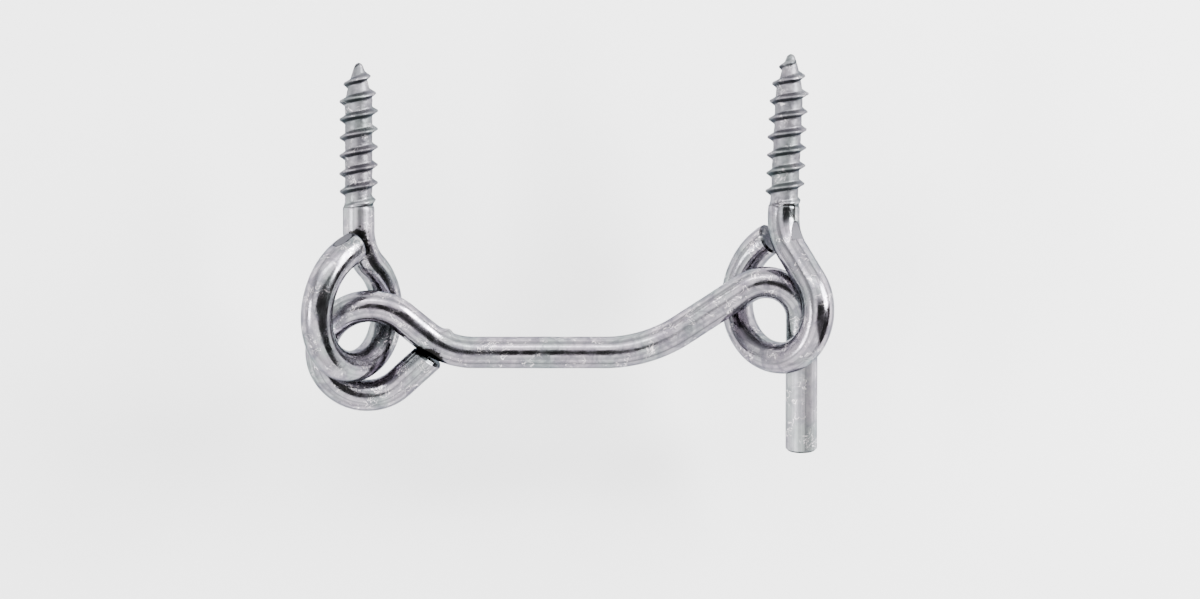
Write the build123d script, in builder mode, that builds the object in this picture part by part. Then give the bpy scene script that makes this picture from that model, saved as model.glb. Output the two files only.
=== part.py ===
# Hook and eye latch: a bent wire hook with a screw eye linked to each end, all of round steel wire.
# Millimetres. X runs along the hook, Y along the hinge eye's screw towards its point, and Z up from
# the face that the latch lies on. The origin is on the hinge eye's screw, where its thread ends.
import math
import os

from build123d import *

os.makedirs("parts", exist_ok=True)

# Wire that all three pieces are bent from
wire_diameter = 5.0
# Break on the edge of a cropped wire end
end_chamfer = 0.35
# Depth that the gripping dies press into the wire
die_depth = 0.4
# Where the closing die presses a ring's last bend, as a share of that bend's length
end_flat_share = 0.8

# Rolled wood-screw thread, the same on both screws
thread_pitch = 2.8
thread_crest_diameter = 6.2
thread_core_diameter = 4.1
thread_base_width = 1.3
thread_crest_width = 0.12
thread_runout_length = 1.9
shoulder_length = 0.8
point_length = 5.8
point_diameter = 0.6
# Plain length at the very point that the thread doesn't reach
point_bare_length = 0.8

# Hinge eye, from its thread to its cut end. A space is the room between a ring's inner side and
# a wire of the same diameter held in its middle, and an inside is the inner radius of a plain bend.
# The thread angle is how far round the screw its ridge starts from the eye's face.
hinge_thread_length = 22.5
hinge_thread_angle = 272.0
hinge_shank_length = 3.4
hinge_neck_inside = 4.6
hinge_neck_angle = 52.0
hinge_flank_length = 0.65
hinge_right_space = 3.65
hinge_left_space = 4.25
hinge_left_angle = 97.5
hinge_end_space = 5.1
hinge_end_angle = 66.0
# Twist that carries the cut end past the front of the neck
hinge_twist_angle = 9.5
# Room that sets how far the ring must be turned square to the hook's wire
hinge_link_space = 1.55
# How far before the ring's far side the hook hangs on it
hinge_link_angle = 29.7

# Catch eye, in the same order
catch_thread_length = 23.7
catch_thread_angle = 25.0
catch_shank_length = 1.3
catch_neck_inside = 6.0
catch_neck_angle = 41.6
catch_flank_length = 6.15
catch_right_space = 2.3
catch_left_space = 5.75
catch_left_angle = 59.5
catch_end_space = 4.5
catch_end_angle = 95.5
# Twist that carries the cut end past the back of the neck
catch_twist_angle = 7.1
catch_link_space = 1.0
# How far past the ring's far side it hangs on the hook
catch_link_angle = 31.3
# Lean of the catch screw from the hinge screw
catch_lean_angle = 2.67

# Hook, bent flat in one plane, from the loop's cut end to the leg's
hook_tilt_angle = 15.0
loop_tail_length = 6.0
loop_end_space = 2.3
loop_end_angle = 42.9
loop_bottom_angle = 43.7
loop_left_space = 2.0
loop_left_angle = 82.8
loop_top_space = 2.9
loop_top_angle = 93.2
gooseneck_length = 4.65
gooseneck_inside = 9.3
arm_length = 20.4
rise_inside = 19.1
rise_angle = 33.8
rise_length = 12.05
nose_space = 0.6
leg_length = 21.45
# How the loop hangs on the hinge ring's wire: the room below that wire, and the loop's middle
# to its left
loop_below_space = 0.87
loop_side_offset = 0.14
# How the catch ring's wire hangs in the nose: left of the bend's middle, and the room above it
nose_side_offset = 1.7
nose_below_space = 2.27

wire_radius = wire_diameter / 2
core_radius = thread_core_diameter / 2
crest_radius = thread_crest_diameter / 2
point_radius = point_diameter / 2
thread_depth = crest_radius - core_radius
# Depth that a rolled thread is rooted in its core
thread_root = core_radius / 5


def eye_plane(place, turn, lean):
    # The flat drawing of an eye: its screw points along the plane's Y
    across = Vector(1, 0, 0).rotate(Axis.Y, turn).rotate(Axis.Z, -lean)
    facing = Vector(0, 0, 1).rotate(Axis.Y, turn).rotate(Axis.Z, -lean)
    return Plane(origin=place, x_dir=across, z_dir=facing)


def thread_section(start, heading):
    # A ridge with a narrow crest, drawn square to its helix about the Z axis
    outward = Vector(start.X, start.Y, 0)
    with BuildSketch(Plane(origin=start, x_dir=outward, z_dir=heading)) as ridge:
        with BuildLine():
            Polyline(
                (-thread_root, -thread_base_width / 2),
                (0, -thread_base_width / 2),
                (thread_depth, -thread_crest_width / 2),
                (thread_depth, thread_crest_width / 2),
                (0, thread_base_width / 2),
                (-thread_root, thread_base_width / 2),
                close=True,
            )
        make_face()
    return ridge.sketch


def wood_screw(length, thread_angle):
    # Core, gimlet point and thread along +Z, from the end of the plain shank to the point
    point_base = length - point_length
    turn_count = math.ceil(point_base / thread_pitch)
    turn_rise = point_base / turn_count
    turn_angle = 360 * turn_rise / thread_pitch
    taper = math.degrees(math.atan((core_radius - point_radius) / point_length))

    # One stretch of the ridge, repeated up the straight core
    helix = Helix(thread_pitch, turn_rise, core_radius)
    with BuildPart() as stretch:
        sweep(thread_section(helix @ 0, helix % 0), path=helix, is_frenet=True)
    ridges = []
    for index in range(turn_count):
        step = (0, 0, turn_rise * index)
        ridges.append(stretch.part.rotate(Axis.Z, turn_angle * index).translate(step))

    # The last stretch winds in along the gimlet point
    point_seat = Plane.XY.offset(point_base).rotated((0, 0, turn_angle * turn_count))
    point_helix = point_seat.location * Helix(
        thread_pitch, point_length - point_bare_length, core_radius, cone_angle=-taper
    )
    heading = (helix % 1).rotate(Axis.Z, turn_angle * (turn_count - 1))
    with BuildPart() as point_ridge:
        sweep(thread_section(point_helix @ 0, heading), path=point_helix, is_frenet=True)
    ridges.append(point_ridge.part)

    # Side view of everything outside the rolled thread where it fades into the shank
    with BuildPart() as fading:
        with BuildSketch(Plane.YZ):
            with BuildLine():
                Polyline(
                    (core_radius - thread_root * 2, -thread_pitch),
                    (core_radius - thread_root * 2, 0),
                    (crest_radius, thread_runout_length),
                    (crest_radius * 2, thread_runout_length),
                    (crest_radius * 2, -thread_pitch),
                    close=True,
                )
            make_face()
        revolve(axis=Axis.Z)
    fading_count = math.ceil((thread_runout_length + thread_base_width) / turn_rise)
    for index in range(min(fading_count, turn_count)):
        ridges[index] = ridges[index] - fading.part

    with BuildPart() as screw:
        with BuildSketch(Plane.YZ):
            with BuildLine():
                Polyline(
                    (0, length),
                    (0, 0),
                    (wire_radius, 0),
                    (core_radius, shoulder_length),
                    (core_radius, point_base),
                    (point_radius, length - point_radius),
                    (0, length),
                )
            make_face()
        revolve(axis=Axis.Z)
        add(ridges)
    return screw.part.rotate(Axis.Z, thread_angle)


def screw_seat(drawing):
    # Upright seat of a screw on its eye's drawing
    return Plane(origin=drawing.origin, x_dir=drawing.z_dir, z_dir=drawing.y_dir)


def twisted_plane(drawing, origin, twist):
    # The drawing of a ring's second half, turned about the tangent at the ring's far side
    tangent_line = Axis((0, 0, 0), drawing.x_dir)
    return Plane(origin=origin, x_dir=drawing.x_dir, z_dir=drawing.z_dir.rotate(tangent_line, twist))


def moved_plane(drawing, place):
    # The same drawing laid out from another point
    return Plane(origin=place, x_dir=drawing.x_dir, z_dir=drawing.z_dir)


def neck_flat(drawing, neck_centre, neck_inside, bend_angle):
    # The die that grips the neck leaves a flat on its inner side, deepest at a ledge
    start_angle = 180 + bend_angle * 0.2
    ledge_angle = 180 + bend_angle * 0.9
    middle_angle = (start_angle + ledge_angle) / 2
    with BuildPart() as die:
        with BuildSketch(moved_plane(drawing, neck_centre)):
            with BuildLine():
                pressed = ThreePointArc(
                    Vector(neck_inside, 0).rotate(Axis.Z, start_angle),
                    Vector(neck_inside + die_depth / 2, 0).rotate(Axis.Z, middle_angle),
                    Vector(neck_inside + die_depth, 0).rotate(Axis.Z, ledge_angle),
                )
                Polyline(
                    pressed @ 1,
                    Vector(neck_inside / 2, 0).rotate(Axis.Z, ledge_angle),
                    Vector(neck_inside / 2, 0).rotate(Axis.Z, start_angle),
                    pressed @ 0,
                )
            make_face()
        extrude(amount=wire_radius, both=True)
    return die.part


def end_flat(last_bend):
    # The closing die flattens the outer side of a ring just before its cut end
    place = last_bend @ end_flat_share
    outward = (place - last_bend.arc_center).normalized()
    pressed_face = Plane(origin=place + outward * (wire_radius - die_depth / 2), z_dir=outward)
    with BuildPart() as die:
        with BuildSketch(pressed_face):
            Circle(wire_radius)
        extrude(amount=die_depth)
    return die.part


# Hinge screw eye, which the hook swings on
hinge_right_radius = wire_diameter + hinge_right_space
hinge_eye_turn = math.degrees(math.asin((wire_diameter + hinge_link_space) / hinge_right_radius))
hinge_drawing = eye_plane((0, 0, 0), hinge_eye_turn, 0)
hinge_screw = screw_seat(hinge_drawing).location * wood_screw(hinge_thread_length, hinge_thread_angle)
with BuildPart() as hinge_screw_eye:
    with BuildLine(hinge_drawing):
        shank = Line((0, 0), (0, -hinge_shank_length))
        neck = JernArc(shank @ 1, shank % 1, hinge_neck_inside + wire_radius, hinge_neck_angle)
        flank = PolarLine(neck @ 1, hinge_flank_length, direction=neck % 1)
        right_side = JernArc(flank @ 1, flank % 1, hinge_right_radius, -90 - hinge_neck_angle)
    with BuildLine(twisted_plane(hinge_drawing, right_side @ 1, hinge_twist_angle)):
        left_side = JernArc(
            right_side @ 1, right_side % 1, wire_diameter + hinge_left_space, -hinge_left_angle
        )
        tail = JernArc(left_side @ 1, left_side % 1, wire_diameter + hinge_end_space, -hinge_end_angle)
    with BuildSketch(Plane(origin=shank @ 0, z_dir=shank % 0)):
        Circle(wire_radius)
    sweep()
    cut_end = hinge_screw_eye.faces().sort_by_distance(tail @ 1)[0]
    chamfer(cut_end.edges(), end_chamfer)
    add(hinge_screw)
    neck_centre = hinge_drawing.from_local_coords(
        (hinge_neck_inside + wire_radius, -hinge_shank_length, 0)
    )
    hinge_die = neck_flat(hinge_drawing, neck_centre, hinge_neck_inside, hinge_neck_angle)
    add(hinge_die, mode=Mode.SUBTRACT)
    add(end_flat(tail), mode=Mode.SUBTRACT)
hinge_screw_eye.part.label = "hinge_screw_eye"

# Hook: closed loop, gooseneck, straight arm, rise, nose and dropped leg. Its flat drawing starts
# from the point where the hinge ring's wire passes through the loop.
hinge_link = right_side.position_at(1 - hinge_link_angle / (90 + hinge_neck_angle))
hook_plane = Plane(origin=hinge_link).rotated((hook_tilt_angle, 0, 0))
# The gooseneck brings the wire back level for the arm
gooseneck_angle = loop_bottom_angle + loop_left_angle + loop_top_angle - 180
nose_radius = wire_diameter + nose_space
with BuildPart() as wire_hook:
    with BuildLine(hook_plane):
        loop_end_radius = wire_diameter + loop_end_space
        lowest = (-loop_side_offset, -wire_diameter - loop_below_space)
        loop_end = JernArc(lowest, (1, 0), loop_end_radius, loop_end_angle)
        loop_tail = PolarLine(loop_end @ 1, loop_tail_length, direction=loop_end % 1)
        loop_bottom = JernArc(lowest, (-1, 0), loop_end_radius, -loop_bottom_angle)
        loop_left = JernArc(
            loop_bottom @ 1, loop_bottom % 1, wire_diameter + loop_left_space, -loop_left_angle
        )
        loop_top = JernArc(
            loop_left @ 1, loop_left % 1, wire_diameter + loop_top_space, -loop_top_angle
        )
        throat = PolarLine(loop_top @ 1, gooseneck_length, direction=loop_top % 1)
        gooseneck = JernArc(
            throat @ 1, throat % 1, gooseneck_inside + wire_radius, gooseneck_angle
        )
        arm = PolarLine(gooseneck @ 1, arm_length, direction=gooseneck % 1)
        rise_bend = JernArc(arm @ 1, arm % 1, rise_inside + wire_radius, rise_angle)
        rise = PolarLine(rise_bend @ 1, rise_length, direction=rise_bend % 1)
        nose = JernArc(rise @ 1, rise % 1, nose_radius, -90 - rise_angle)
        leg = PolarLine(nose @ 1, leg_length, direction=nose % 1)
    with BuildSketch(Plane(origin=leg @ 1, z_dir=-(leg % 1))):
        Circle(wire_radius)
    sweep()
    for end in (loop_tail @ 1, leg @ 1):
        cut_end = wire_hook.faces().sort_by_distance(end)[0]
        chamfer(cut_end.edges(), end_chamfer)
wire_hook.part.label = "wire_hook"

# Catch screw eye, which hangs on the hook's nose. Its flat drawing starts from the point where
# its ring passes under the nose, and runs both ways from there.
nose_end = hook_plane.to_local_coords(nose @ 1)
catch_link = hook_plane.from_local_coords(
    (nose_end.X - nose_radius - nose_side_offset, nose_end.Y - wire_radius - nose_below_space, 0)
)
catch_right_radius = wire_diameter + catch_right_space
catch_left_radius = wire_diameter + catch_left_space
catch_ring_radius = (catch_right_radius + catch_left_radius) / 2
catch_eye_turn = math.degrees(math.asin((wire_diameter + catch_link_space) / catch_ring_radius))
catch_layout = eye_plane(catch_link, -catch_eye_turn, catch_lean_angle)
with BuildPart() as catch_screw_eye:
    with BuildLine(twisted_plane(catch_layout, catch_link, -catch_twist_angle)):
        ahead = math.cos(math.radians(catch_link_angle))
        rising = math.sin(math.radians(catch_link_angle))
        left_start = JernArc((0, 0), (ahead, -rising), catch_left_radius, catch_link_angle)
        left_side = JernArc(
            (0, 0), (-ahead, rising), catch_left_radius, catch_link_angle - catch_left_angle
        )
        tail = JernArc(left_side @ 1, left_side % 1, wire_diameter + catch_end_space, -catch_end_angle)
    with BuildLine(moved_plane(catch_layout, left_start @ 1)):
        right_side = JernArc(
            left_start @ 1, left_start % 1, catch_right_radius, 90 + catch_neck_angle
        )
        flank = PolarLine(right_side @ 1, catch_flank_length, direction=right_side % 1)
        neck = JernArc(flank @ 1, flank % 1, catch_neck_inside + wire_radius, -catch_neck_angle)
        shank = PolarLine(neck @ 1, catch_shank_length, direction=neck % 1)
    with BuildSketch(Plane(origin=tail @ 1, z_dir=-(tail % 1))):
        Circle(wire_radius)
    sweep()
    cut_end = catch_screw_eye.faces().sort_by_distance(tail @ 1)[0]
    chamfer(cut_end.edges(), end_chamfer)
catch_drawing = moved_plane(catch_layout, shank @ 1)
catch_screw = screw_seat(catch_drawing).location * wood_screw(catch_thread_length, catch_thread_angle)
catch_neck_centre = catch_drawing.from_local_coords(
    (catch_neck_inside + wire_radius, -catch_shank_length, 0)
)
catch_die = neck_flat(catch_drawing, catch_neck_centre, catch_neck_inside, catch_neck_angle)
with catch_screw_eye:
    add(catch_screw)
    add(catch_die, mode=Mode.SUBTRACT)
    add(end_flat(tail), mode=Mode.SUBTRACT)
catch_screw_eye.part.label = "catch_screw_eye"

export_step(hinge_screw_eye.part, "parts/hinge_screw_eye.step")
export_step(wire_hook.part, "parts/wire_hook.step")
export_step(catch_screw_eye.part, "parts/catch_screw_eye.step")
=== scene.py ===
# Hook and eye latch of bright zinc-plated wire, held just above a white studio floor.
import math

import bmesh
import bpy
from mathutils import Matrix, Vector
from mathutils.kdtree import KDTree


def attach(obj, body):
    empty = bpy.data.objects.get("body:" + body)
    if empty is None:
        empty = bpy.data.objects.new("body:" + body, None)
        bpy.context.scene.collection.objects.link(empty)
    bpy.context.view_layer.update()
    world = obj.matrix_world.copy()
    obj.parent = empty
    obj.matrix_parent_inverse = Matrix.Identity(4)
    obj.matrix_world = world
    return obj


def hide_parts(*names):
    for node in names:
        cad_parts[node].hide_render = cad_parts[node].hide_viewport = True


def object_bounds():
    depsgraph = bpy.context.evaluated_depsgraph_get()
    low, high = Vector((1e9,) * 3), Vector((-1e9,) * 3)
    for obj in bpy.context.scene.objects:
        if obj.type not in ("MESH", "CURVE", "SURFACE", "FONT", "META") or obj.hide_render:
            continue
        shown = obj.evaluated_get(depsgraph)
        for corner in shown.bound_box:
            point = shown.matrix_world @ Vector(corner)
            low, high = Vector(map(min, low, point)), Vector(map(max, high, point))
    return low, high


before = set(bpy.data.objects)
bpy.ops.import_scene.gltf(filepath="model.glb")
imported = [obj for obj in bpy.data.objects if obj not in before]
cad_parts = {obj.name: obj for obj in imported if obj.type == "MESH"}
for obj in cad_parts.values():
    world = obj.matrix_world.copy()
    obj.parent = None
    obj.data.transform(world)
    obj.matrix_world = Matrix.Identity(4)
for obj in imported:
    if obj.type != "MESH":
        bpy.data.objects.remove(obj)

cad_low, cad_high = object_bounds()

MM = 0.001

# Lengths are in millimetres where nothing else is said. These are as in the part.
WIRE_RADIUS = 2.5
END_CHAMFER = 0.35
THREAD_PITCH = 2.8
CREST_RADIUS = 3.1
CORE_RADIUS = 2.05
THREAD_BASE_WIDTH = 1.3
THREAD_CREST_WIDTH = 0.12
THREAD_RUNOUT = 1.9
SHOULDER_LENGTH = 0.8
POINT_LENGTH = 5.8
POINT_RADIUS = 0.3
HINGE_THREAD_LENGTH = 22.5
CATCH_THREAD_LENGTH = 23.7
HOOK_TILT = 15.0

# How much thicker the rolled and plated thread is than the part's
THICKER_CORE = 0.15
WIDER_BASE = 0.15
WIDER_CREST = 0.08
BLUNTER_POINT = 0.12
# Stretch of the point that has no ridge, and the stretch after it over which the ridge comes in
POINT_BARE = 0.9
POINT_FADE = 1.4
# Curve of the ridge's flanks and of the point: 1 is straight, more is hollow, less is full
FLANK_HOLLOW = 1.25
POINT_BULGE = 0.78
# Share of a turn by which each thread is turned from its eye's facing side
HINGE_PHASE = 0.256
CATCH_PHASE = 0.569
# Facets round the screw, and rows across one pitch of its thread
SCREW_FACETS = 96
SCREW_ROWS = 27
# The wound sheet is closed where two of its vertices are nearer than this
MERGE_DISTANCE = 0.002
# Share of the wire's radius at the start of the thread's shoulder
START_GIRTH = 0.98

# Distance between the stations of a wire, and facets round it
STATION_STEP = 0.25
WIRE_FACETS = 96
# Stations at a wire's end, by their distances from it. The plain stations stay farther from the
# end than the first of these, by this factor.
END_STATIONS = [1.0, 0.85, 0.7, 0.6, 0.5, 0.42, 0.35, 0.28, 0.2, 0.13, 0.07, 0.03, 0.0]
END_CLEARANCE = 1.2
# How far the bent wire strays from round, and the rolled screw as a share of its radius
WIRE_UNEVENNESS = 0.09
SCREW_UNEVENNESS = 0.13
# Scales of the noise that makes them stray
WIRE_WAVE_SCALE = 190.0
SCREW_WAVE_SCALE = 520.0
# Noise rarely rises over this, so that the surface strays inwards only
HIGHEST_WAVE = 0.72
# Edges with a larger angle than this, in degrees, stay sharp
SHARP_ANGLE = 40

# Flats that the dies press into one wire, and the depth from which a flat is wholly dull
PRESS_COUNT = 2
FULL_PRESS = 0.02
# The gripping die's flat runs from one share of the neck bend to another, where it is deepest
DIE_START = 0.2
DIE_LEDGE = 0.9
DIE_DEPTH = 0.55
# Depth of the flat on a ring's end, and how far along the wire it can reach
END_FLAT_DEPTH = 0.2
END_FLAT_REACH = 2.4
# Nub that the bending dies pinch up on the gooseneck: its place along X, its height, its length
# along the wire, how narrow it is round it, how it leans towards the nose and the front, and the
# Y over which the wire is the gooseneck
NUB_X = 12.9
NUB_HEIGHT = 0.6
NUB_LENGTH = 1.35
NUB_NARROWNESS = 14.0
NUB_LEAN = Vector((0.3, 0, 0.1))
GOOSENECK_Y = -24
# The loop's end is cropped aslant: slope of the cut, what it adds to the middle of the wire, and
# how far back from the end the wire is stretched for it
CUT_SLOPE = 0.22
CUT_LENGTHENING = 0.35
CUT_REACH = 3.0

# A face is a cut one, and is given painted shade, where less than this share of the wire's
# radius is left
CUT_FACE_GIRTH = 0.995
# How dull the shanks and the leg are, the leg's dull length, and the length over which it fades
HINGE_DULLNESS = 0.6
CATCH_DULLNESS = 0.0
LEG_DULLNESS = 0.9
LEG_DULL_LENGTH = 14.0
DULL_FADE = 3.0
# How much shade is painted on the thread's core
PAINTED_CORE_SHADE = 0.5
# A crevice, where black shade is painted, is nearer than this to another length of the wire,
# more than so many stations away
HINGE_CREVICE = 3.2
CATCH_CREVICE = 2.2
HOOK_CREVICE = 1.7
CREVICE_STATIONS = 40

# Attributes that the material reads, with their kind, field and width
KEPT_ATTRIBUTES = [
    ("pressed", "FLOAT", "value", 1),
    # The dark mark and the crevice carry painted shade
    ("dark", "FLOAT", "value", 1),
    ("dull", "FLOAT", "value", 1),
    ("crevice", "FLOAT", "value", 1),
    ("section", "FLOAT_VECTOR", "vector", 3),
]
PRESS_NAMES = [f"press_{index}" for index in range(PRESS_COUNT)]
# Attributes that only the wire's tree reads
WORKING_ATTRIBUTES = ["centre", "girth", "raised"] + PRESS_NAMES

# The studio floor is so far under the latch that the swinging screw eye stays above it at every
# joint limit. Half of its width is in metres.
FLOOR_GAP = 14.5 * MM
FLOOR_REACH = 6.0
# Turn of the studio tent's dark gap, and how fast the gap widens away from the middle
GAP_TURN = math.radians(15)
GAP_WIDENING = 0.4
# Brightness of the tent's wall, and of the dimmer band on it
LIT = (1.0, 1.0, 1.0, 1.0)
DIMMED = (0.3, 0.3, 0.3, 1.0)
# Softboxes: name, place from the latch's middle and size in metres, and watts
MIDDLE = Vector((0.0376, -0.0144, 0.0))
SOFTBOXES = [
    ("key_softbox", (0.5, 0.26, 0.3), (0.4, 0.26), 14.0),
    ("far_softbox", (-0.1, 0.5, 0.55), (0.8, 0.16), 3.0),
    ("left_softbox", (-0.5, -0.1, 0.34), (0.3, 0.12), 3.0),
]
# The photograph looks straight down, and its 1200 pixels span 187.2 mm. The height is in metres,
# and the picture's middle and the origin's place on it are in pixels.
CAMERA_HEIGHT = 1.8
PIXEL_SIZE = 0.156 * MM
PICTURE_PIXELS = 1200
MIDDLE_PIXEL = (600, 299.5)
ORIGIN_PIXEL = (358.7, 207)


def add_node(tree, kind, settings=None, inputs=None):
    # Adds a node, with its settings, and its inputs set or linked
    node = tree.nodes.new(kind)
    for name, value in (settings or {}).items():
        setattr(node, name, value)
    for name, value in (inputs or {}).items():
        socket = node.inputs[name]
        if isinstance(value, bpy.types.NodeSocket):
            tree.links.new(value, socket)
        else:
            socket.default_value = value
    return node


def linear(hex_colour):
    # Linear colour from an sRGB one
    values = [int(hex_colour[i : i + 2], 16) / 255 for i in (1, 3, 5)]
    return [v / 12.92 if v <= 0.04045 else ((v + 0.055) / 1.055) ** 2.4 for v in values] + [1.0]


def bright_zinc_plate():
    # Electroplated zinc over drawn steel wire, clear passivated: a grey mirror clouded by patches
    # of coarser and finer grain, with a faint lilac and green cast, fine dark lines along the wire
    # from the drawing die and small bright scuffs. Painted shade darkens the thread and the
    # cropped ends, and painted black shade fills the crevices.
    material = bpy.data.materials.new("bright_zinc_plate_clear_passivated")
    material.use_nodes = True
    tree = material.node_tree
    tree.nodes.clear()
    place = add_node(tree, "ShaderNodeTexCoord").outputs["Object"]
    # Clouds about 2 mm across
    clouds = add_node(
        tree,
        "ShaderNodeTexNoise",
        None,
        {"Vector": place, "Scale": 480.0, "Detail": 5.0, "Roughness": 0.62, "Distortion": 0.6},
    ).outputs["Fac"]
    # Passivation cast in areas about 6 mm across
    cast = add_node(
        tree,
        "ShaderNodeTexNoise",
        None,
        {"Vector": place, "Scale": 160.0, "Detail": 3.0, "Roughness": 0.5},
    ).outputs["Fac"]
    tint = add_node(tree, "ShaderNodeValToRGB", None, {"Fac": cast})
    tint.color_ramp.elements[0].position = 0.38
    tint.color_ramp.elements[0].color = linear("#888d8d")
    tint.color_ramp.elements[1].position = 0.62
    tint.color_ramp.elements[1].color = linear("#958e96")
    tint.color_ramp.elements.new(0.5).color = linear("#8f8c92")
    # Coarse patches are a little darker and much rougher
    coarse = add_node(
        tree,
        "ShaderNodeMapRange",
        None,
        {"Value": clouds, "From Min": 0.42, "From Max": 0.62},
    ).outputs["Result"]
    clouded = add_node(
        tree,
        "ShaderNodeMix",
        {"data_type": "RGBA", "blend_type": "MULTIPLY"},
        {"Factor": coarse, "A": tint.outputs["Color"], "B": linear("#c4c4ca")},
    ).outputs["Result"]
    rough = add_node(
        tree,
        "ShaderNodeMapRange",
        None,
        {"Value": clouds, "From Min": 0.36, "From Max": 0.66, "To Min": 0.1, "To Max": 0.29},
    ).outputs["Result"]
    # Fine lines along the wire from the drawing die, about 0.3 mm apart round it
    section = add_node(tree, "ShaderNodeAttribute", {"attribute_name": "section"}).outputs["Vector"]
    drawn = add_node(
        tree,
        "ShaderNodeTexNoise",
        None,
        {"Vector": section, "Scale": 1500.0, "Detail": 3.0, "Roughness": 0.6},
    ).outputs["Fac"]
    lined = add_node(
        tree, "ShaderNodeMapRange", None, {"Value": drawn, "From Min": 0.32, "From Max": 0.54}
    ).outputs["Result"]
    with_lines = add_node(
        tree,
        "ShaderNodeMix",
        {"data_type": "RGBA"},
        {"Factor": lined, "A": linear("#54565a"), "B": clouded},
    ).outputs["Result"]
    # Scuffs: short curved scratches about 0.1 mm wide, gathered in groups
    scratch_lines = add_node(
        tree,
        "ShaderNodeTexNoise",
        None,
        {"Vector": place, "Scale": 650.0, "Detail": 2.0, "Distortion": 1.5},
    ).outputs["Fac"]
    off_line = add_node(
        tree, "ShaderNodeMath", {"operation": "SUBTRACT"}, {0: scratch_lines, 1: 0.5}
    ).outputs["Value"]
    from_line = add_node(
        tree, "ShaderNodeMath", {"operation": "ABSOLUTE"}, {0: off_line}
    ).outputs["Value"]
    on_line = add_node(
        tree,
        "ShaderNodeMapRange",
        None,
        {"Value": from_line, "From Min": 0.006, "From Max": 0.022, "To Min": 1.0, "To Max": 0.0},
    ).outputs["Result"]
    scratch_groups = add_node(
        tree, "ShaderNodeTexNoise", None, {"Vector": place, "Scale": 420.0, "Detail": 4.0}
    ).outputs["Fac"]
    in_group = add_node(
        tree,
        "ShaderNodeMapRange",
        None,
        {"Value": scratch_groups, "From Min": 0.53, "From Max": 0.6},
    ).outputs["Result"]
    scuffs = add_node(
        tree, "ShaderNodeMath", {"operation": "MULTIPLY"}, {0: on_line, 1: in_group}
    ).outputs["Value"]
    scuffed = add_node(
        tree,
        "ShaderNodeMix",
        {"data_type": "RGBA"},
        {"Factor": scuffs, "A": with_lines, "B": linear("#e8e0e3")},
    ).outputs["Result"]
    # The hinge eye's shank and the leg are dull and rubbed paler. The threads are dull, and the
    # painted shade on them keeps them from being paler.
    dull_part = add_node(tree, "ShaderNodeAttribute", {"attribute_name": "dull"}).outputs["Fac"]
    dark = add_node(tree, "ShaderNodeAttribute", {"attribute_name": "dark"}).outputs["Fac"]
    not_dark = add_node(
        tree, "ShaderNodeMath", {"operation": "SUBTRACT", "use_clamp": True}, {0: 1.0, 1: dark}
    ).outputs["Value"]
    rubbed = add_node(
        tree, "ShaderNodeMath", {"operation": "MULTIPLY"}, {0: dull_part, 1: not_dark}
    ).outputs["Value"]
    rubbed_pale = add_node(
        tree,
        "ShaderNodeMix",
        {"data_type": "RGBA", "blend_type": "ADD"},
        {"Factor": rubbed, "A": scuffed, "B": linear("#505050")},
    ).outputs["Result"]
    # The dies leave a dull even grey
    pressed = add_node(tree, "ShaderNodeAttribute", {"attribute_name": "pressed"}).outputs["Fac"]
    flattened = add_node(
        tree,
        "ShaderNodeMix",
        {"data_type": "RGBA"},
        {"Factor": pressed, "A": rubbed_pale, "B": linear("#5c5b60")},
    ).outputs["Result"]
    # A flat's sheared edge is a dark line, and painted shade darkens the thread's flanks and core
    # and the cropped ends
    unpressed = add_node(
        tree, "ShaderNodeMath", {"operation": "SUBTRACT"}, {0: 1.0, 1: pressed}
    ).outputs["Value"]
    edge = add_node(
        tree, "ShaderNodeMath", {"operation": "MULTIPLY"}, {0: pressed, 1: unpressed}
    ).outputs["Value"]
    edge_line = add_node(
        tree, "ShaderNodeMapRange", None, {"Value": edge, "From Min": 0.05, "From Max": 0.2}
    ).outputs["Result"]
    painted_shade_colour = add_node(
        tree,
        "ShaderNodeMix",
        {"data_type": "RGBA", "blend_type": "MULTIPLY"},
        {"Factor": dark, "A": flattened, "B": linear("#7c8080")},
    ).outputs["Result"]
    outlined = add_node(
        tree,
        "ShaderNodeMix",
        {"data_type": "RGBA"},
        {"Factor": edge_line, "A": painted_shade_colour, "B": linear("#242426")},
    ).outputs["Result"]
    # Painted black shade, speckled, where two lengths of the wire almost touch
    crevice = add_node(tree, "ShaderNodeAttribute", {"attribute_name": "crevice"}).outputs["Fac"]
    speckle = add_node(
        tree,
        "ShaderNodeTexNoise",
        None,
        {"Vector": place, "Scale": 1700.0, "Detail": 3.0, "Roughness": 0.7},
    ).outputs["Fac"]
    speckled = add_node(
        tree, "ShaderNodeMath", {"operation": "ADD"}, {0: crevice, 1: speckle}
    ).outputs["Value"]
    painted_crevice_shade = add_node(
        tree, "ShaderNodeMapRange", None, {"Value": speckled, "From Min": 0.95, "From Max": 1.1}
    ).outputs["Result"]
    crevice_shaded_colour = add_node(
        tree,
        "ShaderNodeMix",
        {"data_type": "RGBA"},
        {"Factor": painted_crevice_shade, "A": outlined, "B": linear("#1d1c1c")},
    ).outputs["Result"]
    # Dull parts and flats are rougher, and the dull parts more clouded
    dulled = add_node(
        tree, "ShaderNodeMix", {"data_type": "FLOAT"}, {"Factor": dull_part, "A": rough, "B": 0.46}
    ).outputs["Result"]
    dull_flat = add_node(
        tree, "ShaderNodeMix", {"data_type": "FLOAT"}, {"Factor": pressed, "A": dulled, "B": 0.5}
    ).outputs["Result"]
    cloud_strength = add_node(
        tree, "ShaderNodeMapRange", None, {"Value": dull_part, "To Min": 0.3, "To Max": 0.8}
    ).outputs["Result"]
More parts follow.
